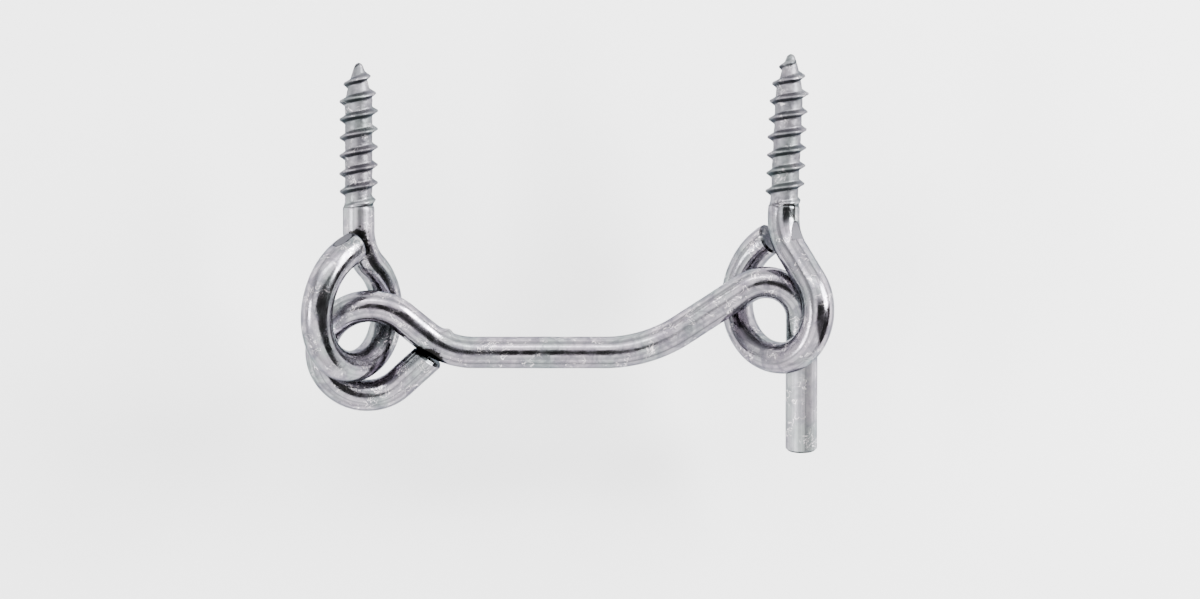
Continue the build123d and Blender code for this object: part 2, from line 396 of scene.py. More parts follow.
    # Grain about 0.3 mm across, which breaks up the edges of reflections
    grain = add_node(
        tree,
        "ShaderNodeTexNoise",
        None,
        {"Vector": place, "Scale": 2600.0, "Detail": 3.0, "Roughness": 0.6},
    ).outputs["Fac"]
    line_bump = add_node(
        tree, "ShaderNodeBump", None, {"Strength": 0.3, "Distance": 0.00003, "Height": drawn}
    ).outputs["Normal"]
    cloud_bump = add_node(
        tree,
        "ShaderNodeBump",
        None,
        {"Strength": cloud_strength, "Distance": 0.00006, "Height": clouds, "Normal": line_bump},
    ).outputs["Normal"]
    grain_bump = add_node(
        tree,
        "ShaderNodeBump",
        None,
        {"Strength": 0.35, "Distance": 0.00002, "Height": grain, "Normal": cloud_bump},
    ).outputs["Normal"]
    shader = add_node(
        tree,
        "ShaderNodeBsdfPrincipled",
        None,
        {
            "Base Color": crevice_shaded_colour,
            "Metallic": 1.0,
            "Roughness": dull_flat,
            "Normal": grain_bump,
            "Specular Tint": linear("#a8acb0"),
        },
    )
    add_node(tree, "ShaderNodeOutputMaterial", None, {"Surface": shader.outputs["BSDF"]})
    return material


zinc = bright_zinc_plate()


def bent_route(origin, across, up, heading, bends):
    # Centre line of a bent wire, from the origin: straight runs and round bends in one plane.
    # Gives its points and, for each, the direction in that plane square to the wire, on its left.
    across, up = Vector(across), Vector(up)
    angle = math.radians(heading)
    place = Vector(origin)
    points, lefts = [], []
    for kind, *sizes in bends:
        turn = math.radians(sizes[1]) if kind == "bend" else 0.0
        length = sizes[0] * abs(turn) if kind == "bend" else sizes[0]
        count = max(3, math.ceil(length / STATION_STEP))
        half_step = abs(turn) / count / 2
        chord = 2 * sizes[0] * math.sin(half_step) if turn else length / count
        for index in range(count):
            ahead = angle + turn * (index + 0.5) / count
            place = place + (across * math.cos(ahead) + up * math.sin(ahead)) * chord
            after = angle + turn * (index + 1) / count
            points.append(place)
            lefts.append(up * math.cos(after) - across * math.sin(after))
        angle += turn
    return points, lefts


def eye_frame(turn, lean):
    # Across, up and facing directions of an eye's drawing
    turning = Matrix.Rotation(math.radians(turn), 3, "Y")
    matrix = Matrix.Rotation(math.radians(-lean), 3, "Z") @ turning
    return matrix.col[0].copy(), matrix.col[1].copy(), matrix.col[2].copy()


def eye_route(shoulder, frame_directions, twist, near_bends, far_bends):
    # From the thread round to the ring's cut end, the far side being twisted out of the plane
    across, up, facing = frame_directions
    points, lefts = bent_route(shoulder, across, up, -90, near_bends)
    turned_up = up * math.cos(math.radians(twist)) + facing * math.sin(math.radians(twist))
    far_points, far_lefts = bent_route(points[-1], across, turned_up, 180, far_bends)
    return [Vector(shoulder)] + points + far_points, [across] + lefts + far_lefts


def finer_end(points, lefts, stations):
    # Replaces the last stations by closer ones, at the given distances from the end
    ahead = (points[-1] - points[-2]).normalized()
    end, left = points[-1], lefts[-1]
    clear = stations[0] * END_CLEARANCE
    kept = [index for index, point in enumerate(points) if (end - point).length > clear]
    points = [points[index] for index in kept] + [end - ahead * distance for distance in stations]
    lefts = [lefts[index] for index in kept] + [left] * len(stations)
    return points, lefts


def end_girth(distance, chamfer, rounded):
    # Share of the wire's radius that is left near a cropped end
    if distance >= chamfer:
        return 1.0
    if rounded:
        left_over = math.sqrt(chamfer**2 - (chamfer - distance) ** 2)
    else:
        left_over = distance
    return 1.0 - (chamfer - left_over) / WIRE_RADIUS


def group_inputs(tree, sockets):
    # A tree's named inputs, and its one output
    for name, kind in sockets:
        tree.interface.new_socket(name=name, in_out="INPUT", socket_type=kind)
    tree.interface.new_socket(name="Geometry", in_out="OUTPUT", socket_type="NodeSocketGeometry")


def finish_tree(tree, geometry, material):
    # Smooth shading, real geometry and the material
    smooth = add_node(tree, "GeometryNodeSetShadeSmooth", None, {"Geometry": geometry})
    real = add_node(
        tree, "GeometryNodeRealizeInstances", None, {"Geometry": smooth.outputs["Geometry"]}
    )
    dressed = add_node(
        tree,
        "GeometryNodeSetMaterial",
        None,
        {"Geometry": real.outputs["Geometry"], "Material": material},
    )
    add_node(tree, "NodeGroupOutput", None, {"Geometry": dressed.outputs["Geometry"]})


def bent_wire_tree():
    # A round section carried along the route, then trimmed to its ends, dented and pressed flat
    tree = bpy.data.node_groups.new("bent_wire", "GeometryNodeTree")
    sockets = [
        ("Geometry", "NodeSocketGeometry"),
        ("Wire Radius", "NodeSocketFloat"),
        ("Facets Round", "NodeSocketInt"),
        ("Unevenness", "NodeSocketFloat"),
        ("Wave Scale", "NodeSocketFloat"),
        ("Material", "NodeSocketMaterial"),
    ]
    group_inputs(tree, sockets)
    given = add_node(tree, "NodeGroupInput").outputs
    place = add_node(tree, "GeometryNodeInputPosition").outputs["Position"]
    route = add_node(tree, "GeometryNodeMeshToCurve", None, {"Mesh": given["Geometry"]})
    centred = add_node(
        tree,
        "GeometryNodeStoreNamedAttribute",
        {"data_type": "FLOAT_VECTOR", "domain": "POINT"},
        {"Geometry": route.outputs["Curve"], "Name": "centre", "Value": place},
    )
    section = add_node(
        tree,
        "GeometryNodeCurvePrimitiveCircle",
        {"mode": "RADIUS"},
        {"Resolution": given["Facets Round"], "Radius": given["Wire Radius"]},
    )
    kept_section = add_node(
        tree,
        "GeometryNodeStoreNamedAttribute",
        {"data_type": "FLOAT_VECTOR", "domain": "POINT"},
        {"Geometry": section.outputs["Curve"], "Name": "section", "Value": place},
    )
    wire = add_node(
        tree,
        "GeometryNodeCurveToMesh",
        None,
        {
            "Curve": centred.outputs["Geometry"],
            "Profile Curve": kept_section.outputs["Geometry"],
            "Fill Caps": True,
        },
    )
    carried = {}
    for name in ["centre", "raised"] + PRESS_NAMES:
        carried[name] = add_node(
            tree, "GeometryNodeInputNamedAttribute", {"data_type": "FLOAT_VECTOR"}, {"Name": name}
        ).outputs["Attribute"]
    girth = add_node(
        tree, "GeometryNodeInputNamedAttribute", {"data_type": "FLOAT"}, {"Name": "girth"}
    ).outputs["Attribute"]
    outward = add_node(
        tree, "ShaderNodeVectorMath", {"operation": "SUBTRACT"}, {0: place, 1: carried["centre"]}
    ).outputs["Vector"]
    waves = add_node(
        tree,
        "ShaderNodeTexNoise",
        None,
        {"Vector": place, "Scale": given["Wave Scale"], "Detail": 2.0, "Roughness": 0.45},
    ).outputs["Fac"]
    swing = add_node(
        tree, "ShaderNodeMath", {"operation": "SUBTRACT"}, {0: waves, 1: HIGHEST_WAVE}
    ).outputs["Value"]
    stray = add_node(
        tree,
        "ShaderNodeMath",
        {"operation": "DIVIDE"},
        {0: given["Unevenness"], 1: given["Wire Radius"]},
    ).outputs["Value"]
    swell = add_node(
        tree, "ShaderNodeMath", {"operation": "MULTIPLY_ADD"}, {0: swing, 1: stray, 2: 1.0}
    ).outputs["Value"]
    share = add_node(
        tree, "ShaderNodeMath", {"operation": "MULTIPLY"}, {0: swell, 1: girth}
    ).outputs["Value"]
    outward = add_node(
        tree, "ShaderNodeVectorMath", {"operation": "SCALE"}, {0: outward, "Scale": share}
    ).outputs["Vector"]
    # Each press keeps the wire from rising over a plane, given by the vector from the centre to it
    pressed_back = 0.0
    for name in PRESS_NAMES:
        towards = add_node(
            tree, "ShaderNodeVectorMath", {"operation": "NORMALIZE"}, {0: carried[name]}
        ).outputs["Vector"]
        limit = add_node(
            tree, "ShaderNodeVectorMath", {"operation": "LENGTH"}, {0: carried[name]}
        ).outputs["Value"]
        reach = add_node(
            tree, "ShaderNodeVectorMath", {"operation": "DOT_PRODUCT"}, {0: outward, 1: towards}
        ).outputs["Value"]
        over = add_node(
            tree, "ShaderNodeMath", {"operation": "SUBTRACT"}, {0: limit, 1: reach}
        ).outputs["Value"]
        back = add_node(
            tree, "ShaderNodeMath", {"operation": "MINIMUM"}, {0: over, 1: 0.0}
        ).outputs["Value"]
        pressed_back = add_node(
            tree, "ShaderNodeMath", {"operation": "ADD"}, {0: back, 1: pressed_back}
        ).outputs["Value"]
        shift = add_node(
            tree, "ShaderNodeVectorMath", {"operation": "SCALE"}, {0: towards, "Scale": back}
        ).outputs["Vector"]
        outward = add_node(
            tree, "ShaderNodeVectorMath", {"operation": "ADD"}, {0: outward, 1: shift}
        ).outputs["Vector"]
    # A pinched nub rises on the side that its vector points to
    side = add_node(
        tree, "ShaderNodeVectorMath", {"operation": "NORMALIZE"}, {0: outward}
    ).outputs["Vector"]
    nub_side = add_node(
        tree, "ShaderNodeVectorMath", {"operation": "NORMALIZE"}, {0: carried["raised"]}
    ).outputs["Vector"]
    agreement = add_node(
        tree, "ShaderNodeVectorMath", {"operation": "DOT_PRODUCT"}, {0: side, 1: nub_side}
    ).outputs["Value"]
    facing_nub = add_node(
        tree, "ShaderNodeMath", {"operation": "MAXIMUM"}, {0: agreement, 1: 0.0}
    ).outputs["Value"]
    narrow = add_node(
        tree, "ShaderNodeMath", {"operation": "POWER"}, {0: facing_nub, 1: NUB_NARROWNESS}
    ).outputs["Value"]
    nub = add_node(
        tree,
        "ShaderNodeVectorMath",
        {"operation": "SCALE"},
        {0: carried["raised"], "Scale": narrow},
    ).outputs["Vector"]
    outward = add_node(
        tree, "ShaderNodeVectorMath", {"operation": "ADD"}, {0: outward, 1: nub}
    ).outputs["Vector"]
    final_place = add_node(
        tree, "ShaderNodeVectorMath", {"operation": "ADD"}, {0: carried["centre"], 1: outward}
    ).outputs["Vector"]
    pressed = add_node(
        tree,
        "ShaderNodeMath",
        {"operation": "DIVIDE", "use_clamp": True},
        {0: pressed_back, 1: -FULL_PRESS * MM},
    ).outputs["Value"]
    marked = add_node(
        tree,
        "GeometryNodeStoreNamedAttribute",
        {"data_type": "FLOAT", "domain": "POINT"},
        {"Geometry": wire.outputs["Mesh"], "Name": "pressed", "Value": pressed},
    )
    moved = add_node(
        tree,
        "GeometryNodeSetPosition",
        None,
        {"Geometry": marked.outputs["Geometry"], "Position": final_place},
    )
    finish_tree(tree, moved.outputs["Geometry"], given["Material"])
    return tree


# The rolled screw is a sheet wound round its axis, with rows along the helix so that the crest
# stays crisp. Each line gives a value's name, the sum that makes it, and what goes into the sum.
SCREW_SUMS = [
    ("length in turns", "DIVIDE", "Length", "Pitch"),
    ("turns", "ADD", "length in turns", 2.0),
    ("facets along", "MULTIPLY", "turns", "Facets Round"),
    ("columns", "ADD", "facets along", 1.0),
    ("along", "ADD", "sheet x", 0.5),
    ("row", "ADD", "sheet y", 0.5),
    ("turn from edge", "MULTIPLY", "along", "turns"),
    ("turn", "SUBTRACT", "turn from edge", 1.5),
    ("turn at row", "ADD", "turn", "row"),
    ("rise", "MULTIPLY", "turn at row", "Pitch"),
    ("low", "MULTIPLY", "Shoulder", -1.0),
    ("rise from low", "MAXIMUM", "rise", "low"),
    ("height", "MINIMUM", "rise from low", "Length"),
    # Core: shoulder, straight length and gimlet point
    ("shoulder share", "DIVIDE clamped", "height", "Shoulder"),
    ("shoulder depth", "SUBTRACT", "Shank Radius", "Core Radius"),
    ("shoulder drop", "MULTIPLY", "shoulder share", "shoulder depth"),
    ("core", "SUBTRACT", "Shank Radius", "shoulder drop"),
    ("left over", "SUBTRACT", "Length", "height"),
    ("point share", "DIVIDE clamped", "left over", "Point Length"),
    ("taper", "SUBTRACT", "core", "Point Radius"),
    ("point swell", "POWER", "point share", "Point Bulge"),
    ("tapered", "MULTIPLY", "point swell", "taper"),
    ("cone", "ADD", "tapered", "Point Radius"),
    ("tip share", "DIVIDE clamped", "left over", "Point Radius"),
    ("tip rest", "SUBTRACT", 1.0, "tip share"),
    ("tip rest squared", "MULTIPLY", "tip rest", "tip rest"),
    ("tip square", "SUBTRACT", 1.0, "tip rest squared"),
    ("tip round", "SQRT", "tip square", 0.0),
    ("core here", "MULTIPLY", "cone", "tip round"),
    # Ridge: narrow crest and hollow flanks, fading out at both ends
    ("row off middle", "SUBTRACT", "row", 0.5),
    ("row distance", "ABSOLUTE", "row off middle", 0.0),
    ("off crest", "MULTIPLY", "row distance", "Pitch"),
    ("half base", "MULTIPLY", "Base Width", 0.5),
    ("half crest", "MULTIPLY", "Crest Width", 0.5),
    ("inside base", "SUBTRACT", "half base", "off crest"),
    ("flank width", "SUBTRACT", "half base", "half crest"),
    ("flank share", "DIVIDE clamped", "inside base", "flank width"),
    ("ridge", "POWER", "flank share", "Flank Hollow"),
    ("fade in", "DIVIDE clamped", "height", "Runout"),
    ("past point", "SUBTRACT", "left over", "Point Bare"),
    ("fade out", "DIVIDE clamped", "past point", "Point Fade"),
    ("fade", "MULTIPLY", "fade in", "fade out"),
    ("depth", "SUBTRACT", "Crest Radius", "Core Radius"),
    ("ridge height", "MULTIPLY", "ridge", "depth"),
    ("swell", "MULTIPLY", "ridge height", "fade"),
    ("full radius", "ADD", "core here", "swell"),
    ("started", "GREATER_THAN", "rise", "low"),
    ("radius", "MULTIPLY", "full radius", "started"),
    ("phased turn", "ADD", "turn", "Phase"),
    ("angle", "MULTIPLY", "phased turn", 2 * math.pi),
    ("cosine", "COSINE", "angle", 0.0),
    ("sine", "SINE", "angle", 0.0),
    ("x", "MULTIPLY", "radius", "cosine"),
    ("y", "MULTIPLY", "radius", "sine"),
    # Marks for the material: painted shade on the flanks, heaviest on the head's side, and on the
    # core, which is also dull
    ("from crest", "SUBTRACT", 1.0, "flank share"),
    ("up and down", "MULTIPLY", "flank share", "from crest"),
    ("flank painted shade", "MULTIPLY clamped", "up and down", 5.0),
    ("head side", "LESS_THAN", "row off middle", 0.0),
    ("more on head side", "MULTIPLY", "head side", 0.35),
    ("side share", "ADD", "more on head side", 0.65),
    ("sided painted shade", "MULTIPLY", "flank painted shade", "side share"),
    ("core painted shade", "MULTIPLY", "fade in", "Painted Core Shade"),
    ("painted shade mark", "MAXIMUM", "sided painted shade", "core painted shade"),
    ("dull mark", "MAXIMUM", "fade in", "Shank Dullness"),
]


def rolled_screw_tree():
    # The sheet wound into a screw, with the sums above worked out at each of its vertices
    tree = bpy.data.node_groups.new("rolled_wood_screw", "GeometryNodeTree")
    lengths = [
        "Length",
        "Pitch",
        "Core Radius",
        "Crest Radius",
        "Shank Radius",
        "Base Width",
        "Crest Width",
        "Flank Hollow",
        "Runout",
        "Shoulder",
        "Point Length",
        "Point Radius",
        "Point Bulge",
        "Point Bare",
        "Point Fade",
        "Phase",
        "Painted Core Shade",
        "Shank Dullness",
        "Unevenness",
        "Wave Scale",
    ]
    sockets = [("Geometry", "NodeSocketGeometry")]
    sockets += [(name, "NodeSocketFloat") for name in lengths]
    sockets += [("Facets Round", "NodeSocketInt"), ("Rows", "NodeSocketInt")]
    sockets += [("Material", "NodeSocketMaterial")]
    group_inputs(tree, sockets)
    given = add_node(tree, "NodeGroupInput").outputs
    values = {name: given[name] for name in lengths + ["Facets Round"]}
    place = add_node(tree, "GeometryNodeInputPosition").outputs["Position"]
    sheet_place = add_node(tree, "ShaderNodeSeparateXYZ", None, {0: place}).outputs
    values["sheet x"] = sheet_place["X"]
    values["sheet y"] = sheet_place["Y"]
    for name, operation, first, second in SCREW_SUMS:
        settings = {
            "operation": operation.removesuffix(" clamped"),
            "use_clamp": operation.endswith("clamped"),
        }
        inputs = {0: values.get(first, first), 1: values.get(second, second)}
        values[name] = add_node(tree, "ShaderNodeMath", settings, inputs).outputs["Value"]
    sheet_inputs = {
        "Size X": 1.0,
        "Size Y": 1.0,
        "Vertices X": values["columns"],
        "Vertices Y": given["Rows"],
    }
    sheet = add_node(tree, "GeometryNodeMeshGrid", None, sheet_inputs)
    wound = add_node(
        tree,
        "ShaderNodeCombineXYZ",
        None,
        {"X": values["x"], "Y": values["y"], "Z": values["height"]},
    )
    # Rolling leaves the ridge and the core a little uneven
    waves = add_node(
        tree,
        "ShaderNodeTexNoise",
        None,
        {"Vector": wound.outputs["Vector"], "Scale": given["Wave Scale"], "Detail": 2.0},
    ).outputs["Fac"]
    swing = add_node(
        tree, "ShaderNodeMath", {"operation": "SUBTRACT"}, {0: waves, 1: HIGHEST_WAVE}
    ).outputs["Value"]
    share = add_node(
        tree,
        "ShaderNodeMath",
        {"operation": "MULTIPLY_ADD"},
        {0: swing, 1: given["Unevenness"], 2: 1.0},
    ).outputs["Value"]
    shares = add_node(tree, "ShaderNodeCombineXYZ", None, {"X": share, "Y": share, "Z": 1.0})
    uneven = add_node(
        tree,
        "ShaderNodeVectorMath",
        {"operation": "MULTIPLY"},
        {0: wound.outputs["Vector"], 1: shares.outputs["Vector"]},
    )
    # Painted shade on the thread's flanks and core, and the thread's dullness
    marked = add_node(
        tree,
        "GeometryNodeStoreNamedAttribute",
        {"data_type": "FLOAT", "domain": "POINT"},
        {"Geometry": sheet.outputs["Mesh"], "Name": "dark", "Value": values["painted shade mark"]},
    )
    dulled = add_node(
        tree,
        "GeometryNodeStoreNamedAttribute",
        {"data_type": "FLOAT", "domain": "POINT"},
        {"Geometry": marked.outputs["Geometry"], "Name": "dull", "Value": values["dull mark"]},
    )
    surface = add_node(
        tree,
        "GeometryNodeSetPosition",
        None,
        {"Geometry": dulled.outputs["Geometry"], "Position": uneven.outputs["Vector"]},
    )
    closed = add_node(
        tree,
        "GeometryNodeMergeByDistance",
        None,
        {"Geometry": surface.outputs["Geometry"], "Distance": MERGE_DISTANCE * MM},
    )
    finish_tree(tree, closed.outputs["Geometry"], given["Material"])
    return tree


wire_tree = bent_wire_tree()
screw_tree = rolled_screw_tree()


def grown_mesh(name, data, tree, values):
    # Runs a tree on an object and keeps the result as a plain mesh
    source = bpy.data.objects.new(name, data)
    bpy.context.scene.collection.objects.link(source)
    modifier = source.modifiers.new(name, "NODES")
    modifier.node_group = tree
    for item in tree.interface.items_tree:
        if item.name in values and item.in_out == "INPUT":
            modifier[item.identifier] = values[item.name]
    bpy.context.view_layer.update()
    graph = bpy.context.evaluated_depsgraph_get()
    mesh = bpy.data.meshes.new_from_object(source.evaluated_get(graph), depsgraph=graph)
    bpy.data.objects.remove(source)
    return mesh


def store(mesh, name, kind, field, values):
    # An attribute at the mesh's vertices
    mesh.attributes.new(name, kind, "POINT").data.foreach_set(field, values)


def mark_crevices(mesh, points, crevice_reach):
    # How near each vertex is to another length of the same wire, where black shade is painted
    stations = KDTree(len(points))
    for index, point in enumerate(points):
        stations.insert(point * MM, index)
    stations.balance()
    reach = (WIRE_RADIUS + crevice_reach) * MM
    values = []
    for vertex in mesh.vertices:
        own_station = vertex.index // WIRE_FACETS
        gaps = [
            distance / MM - WIRE_RADIUS
            for _, index, distance in stations.find_range(vertex.co, reach)
            if abs(index - own_station) > CREVICE_STATIONS
        ]
        values.append(1.0 - max(min(gaps), 0.0) / crevice_reach if gaps else 0.0)
    store(mesh, "crevice", "FLOAT", "value", values)


def wire_mesh(name, points, girths, presses, raised, dullness, crevice_reach):
    # The route as a string of edges, with what the tree needs at every station
    line = bpy.data.meshes.new(name)
    edges = [(index, index + 1) for index in range(len(points) - 1)]
    line.from_pydata([point * MM for point in points], edges, [])
    # The cropped ends and their chamfers get painted shade
    painted_end_shade = [1.0 if girth < CUT_FACE_GIRTH else 0.0 for girth in girths]
    store(line, "girth", "FLOAT", "value", girths)
    store(line, "dark", "FLOAT", "value", painted_end_shade)
    store(line, "dull", "FLOAT", "value", dullness)
    # Where nothing presses the wire, the plane lies outside it
    outside, level = Vector((0, 0, WIRE_RADIUS * 2)), Vector((0, 0, 0))
    vectors = [(press_name, press, outside) for press_name, press in zip(PRESS_NAMES, presses)]
    for vector_name, given, otherwise in vectors + [("raised", raised, level)]:
        flat = [value * MM for at in range(len(points)) for value in given.get(at, otherwise)]
        store(line, vector_name, "FLOAT_VECTOR", "vector", flat)
    values = {
        "Wire Radius": WIRE_RADIUS * MM,
        "Facets Round": WIRE_FACETS,
        "Unevenness": WIRE_UNEVENNESS * MM,
        "Wave Scale": WIRE_WAVE_SCALE,
        "Material": zinc,
    }
    mesh = grown_mesh(name, line, wire_tree, values)
    mark_crevices(mesh, points, crevice_reach)
    return mesh


def screw_mesh(name, length, phase, shoulder, frame_directions, dullness):
    # The rolled screw, set on its eye's shank
    across, up, facing = frame_directions
    values = {
        "Length": length * MM,
        "Pitch": THREAD_PITCH * MM,
        "Core Radius": (CORE_RADIUS + THICKER_CORE) * MM,
        "Crest Radius": CREST_RADIUS * MM,
        "Shank Radius": WIRE_RADIUS * START_GIRTH * MM,
        "Base Width": (THREAD_BASE_WIDTH + WIDER_BASE) * MM,
        "Crest Width": (THREAD_CREST_WIDTH + WIDER_CREST) * MM,
        "Flank Hollow": FLANK_HOLLOW,
        "Runout": THREAD_RUNOUT * MM,
        "Shoulder": SHOULDER_LENGTH * MM,
        "Point Length": POINT_LENGTH * MM,
        "Point Radius": (POINT_RADIUS + BLUNTER_POINT) * MM,
        "Point Bulge": POINT_BULGE,
        "Point Bare": POINT_BARE * MM,
        "Point Fade": POINT_FADE * MM,
        "Phase": phase,
        "Painted Core Shade": PAINTED_CORE_SHADE,
        "Shank Dullness": dullness,
        "Unevenness": SCREW_UNEVENNESS,
        "Wave Scale": SCREW_WAVE_SCALE,
        "Facets Round": SCREW_FACETS,
        "Rows": SCREW_ROWS,
        "Material": zinc,
    }
    mesh = grown_mesh(name, bpy.data.meshes.new(name), screw_tree, values)
    seat = Matrix((facing, across, up)).transposed().to_4x4()
    seat.translation = Vector(shoulder) * MM
    mesh.transform(seat)
    return mesh


def along_route(points):
    # Distance of every station from the first
    distances = [0.0]
    for before, after in zip(points, points[1:]):
        distances.append(distances[-1] + (after - before).length)
    return distances


def fading(past, length):
    # One up to a place, then fading to nothing over a length
    return 1.0 - min(max(past / length, 0.0), 1.0)


def plane_press(points, place, outward, depth, reach):
    # A flat in one plane, pressed into the wire at a place on its centre line
    press = {}
    for index, point in enumerate(points):
        limit = WIRE_RADIUS - depth + (place - point).dot(outward)
        if (point - place).length < reach and limit < WIRE_RADIUS:
            press[index] = outward * limit
    return press


def neck_press(points, lefts, start, length):
    # The gripping die's flat on the inner side of the neck bend, deepest at its ledge
    press = {}
    for index, distance in enumerate(along_route(points)):
        share = (distance - start) / length
        if DIE_START < share < DIE_LEDGE:
            depth = DIE_DEPTH * (share - DIE_START) / (DIE_LEDGE - DIE_START)
            press[index] = lefts[index] * (WIRE_RADIUS - depth)
    return press


def finished(name, meshes, body, node):
    # One piece from its grown meshes, riding on its body in place of the plain solid
    joined = bmesh.new()
    for part in meshes:
        joined.from_mesh(part)
    bmesh.ops.recalc_face_normals(joined, faces=joined.faces)
    mesh = bpy.data.meshes.new(name)
    joined.to_mesh(mesh)
    joined.free()
    # The material's attributes are written anew, so that joining can't leave any out
    for kept_name in [kept[0] for kept in KEPT_ATTRIBUTES] + WORKING_ATTRIBUTES:
        if kept_name in mesh.attributes:
            mesh.attributes.remove(mesh.attributes[kept_name])
    for kept_name, kind, field, width in KEPT_ATTRIBUTES:
        values = []
        for part in meshes:
            part_values = [0.0] * (len(part.vertices) * width)
            if kept_name in part.attributes:
                part.attributes[kept_name].data.foreach_get(field, part_values)
            values += part_values
        store(mesh, kept_name, kind, field, values)
    mesh.materials.append(zinc)
    mesh.shade_smooth()
    mesh.set_sharp_from_angle(angle=math.radians(SHARP_ANGLE))
    piece = bpy.data.objects.new(name, mesh)
    bpy.context.scene.collection.objects.link(piece)
    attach(piece, body)
    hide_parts(node)


def screw_eye(
    name, shoulder, turn, lean, twist, neck, near_bends, far_bends, end_setback, rounding, wear_and_shade
):
    # An eye's wire: shank, neck, ring and cropped end. The neck is the shank's length with the
    # radius and angle of its bend, the rounding is the end's chamfer and whether it is round, and
    # the wear and shade are the dullness and the reach of the painted shade in crevices.
    directions = eye_frame(turn, lean)
    shank_length, neck_radius, neck_angle = neck
    near = [("run", shank_length), ("bend", neck_radius, neck_angle)] + near_bends
    points, lefts = eye_route(shoulder, directions, twist, near, far_bends)
    points, lefts = finer_end(points, lefts, END_STATIONS)
    distances = along_route(points)
    whole = distances[-1]
    chamfer, rounded = rounding
    girths = [end_girth(whole - distance, chamfer, rounded) for distance in distances]
    girths[0] = START_GIRTH
    neck_length = neck_radius * math.radians(neck_angle)
    flat_at = min(range(len(points)), key=lambda index: abs(whole - distances[index] - end_setback))
    presses = [
        neck_press(points, lefts, shank_length, neck_length),
        plane_press(points, points[flat_at], lefts[flat_at], END_FLAT_DEPTH, END_FLAT_REACH),
    ]
    dullness, crevice_reach = wear_and_shade
    dulls = [dullness * fading(distance - shank_length, DULL_FADE) for distance in distances]
    return wire_mesh(name, points, girths, presses, {}, dulls, crevice_reach), directions


# Runs have a length, bends a radius and an angle to the left, and angles are in degrees
hinge_shoulder = (0.0, 0.0, 0.0)
hinge_wire, hinge_directions = screw_eye(
    "hinge_wire",
    hinge_shoulder,
    turn=49.22,
    lean=0.0,
    twist=9.5,
    neck=(3.4, 7.1, 52.0),
    near_bends=[("run", 0.65), ("bend", 8.65, -142.0)],
    far_bends=[("bend", 9.25, -97.5), ("bend", 10.1, -66.0)],
    end_setback=2.33,
    rounding=(0.7, True),
    wear_and_shade=(HINGE_DULLNESS, HINGE_CREVICE),
)
catch_shoulder = (66.3171, 0.153, 2.1964)
catch_wire, catch_directions = screw_eye(
    "catch_wire",
    catch_shoulder,
    turn=-41.6685,
    lean=2.67,
    twist=-7.1,
    neck=(1.3, 8.5, 41.6),
    near_bends=[("run", 6.15), ("bend", 7.3, -131.6)],
    far_bends=[("bend", 10.75, -59.5), ("bend", 9.5, -95.5)],
    end_setback=2.7,
    rounding=(END_CHAMFER, False),
    wear_and_shade=(CATCH_DULLNESS, CATCH_CREVICE),
)

# The hook runs both ways from the start of its straight arm
hook_tilt = math.radians(HOOK_TILT)
hook_across = Vector((1, 0, 0))
hook_up = Vector((0, math.cos(hook_tilt), math.sin(hook_tilt)))
arm_start = (17.9754, -22.6966, -1.3913)
loop_bends = [
    ("bend", 11.8, -39.7),
    ("run", 4.65),
    ("bend", 7.9, 93.2),
    ("bend", 7.0, 82.8),
    ("bend", 7.3, 86.6),
    ("run", 6.0),
]
leg_bends = [
    ("run", 20.4),
    ("bend", 21.6, 33.8),
    ("run", 12.05),
    ("bend", 5.6, -123.8),
    ("run", 21.45),
]
loop_points, loop_lefts = bent_route(arm_start, hook_across, hook_up, 180, loop_bends)
loop_points, loop_lefts = finer_end(loop_points, loop_lefts, END_STATIONS)
leg_points, leg_lefts = bent_route(arm_start, hook_across, hook_up, 0, leg_bends)
leg_points, leg_lefts = finer_end(leg_points, leg_lefts, END_STATIONS)
hook_points = loop_points[::-1] + [Vector(arm_start)] + leg_points
hook_distances = along_route(hook_points)
hook_girths = []
for distance in hook_distances:
    nearest_end = min(distance, hook_distances[-1] - distance)
    hook_girths.append(end_girth(nearest_end, END_CHAMFER, False))
nub_direction = (hook_up + NUB_LEAN).normalized()
hook_raised = {}
for index, point in enumerate(hook_points):
    away = abs(point.x - NUB_X) / NUB_LENGTH
    if away < 1 and point.y > GOOSENECK_Y:
        hook_raised[index] = nub_direction * NUB_HEIGHT * (1 - away**2) ** 2
leg_dull_start = hook_distances[-1] - LEG_DULL_LENGTH
hook_dulls = [
    LEG_DULLNESS * fading(leg_dull_start - distance, DULL_FADE) for distance in hook_distances
]
hook_wire = wire_mesh(
    "hook_wire",
    hook_points,
    hook_girths,
    [{}] * PRESS_COUNT,
    hook_raised,
    hook_dulls,
    HOOK_CREVICE,
)

# The loop's end is cropped aslant, in line with the arm that it almost meets
end_ahead = (loop_points[-1] - loop_points[-2]).normalized()
end_side = -loop_lefts[-1]
cut_stations = len(END_STATIONS) + math.ceil(CUT_REACH / STATION_STEP)
for vertex in hook_wire.vertices[: cut_stations * WIRE_FACETS]:
    from_end = vertex.co / MM - loop_points[-1]
    behind = -from_end.dot(end_ahead)
    if behind < CUT_REACH:
        slope = from_end.dot(end_side) * CUT_SLOPE + CUT_LENGTHENING
        vertex.co += end_ahead * slope * (1 - max(behind, 0.0) / CUT_REACH) * MM

hinge_screw = screw_mesh(
    "hinge_thread",
    HINGE_THREAD_LENGTH,
    HINGE_PHASE,
    hinge_shoulder,
    hinge_directions,
    HINGE_DULLNESS,
)
catch_screw = screw_mesh(
    "catch_thread",
    CATCH_THREAD_LENGTH,
    CATCH_PHASE,
    catch_shoulder,
    catch_directions,
    CATCH_DULLNESS,
)
finished(
    "hinge_eye_plated",
    [hinge_wire, hinge_screw],
    body="hinge_eye",
    node="hinge_screw_eye",
)
finished(
    "hook_plated",
    [hook_wire],
    body="hook",
    node="wire_hook",
)
finished(
    "catch_eye_plated",
    [catch_wire, catch_screw],
    body="catch_eye",
    node="catch_screw_eye",
)

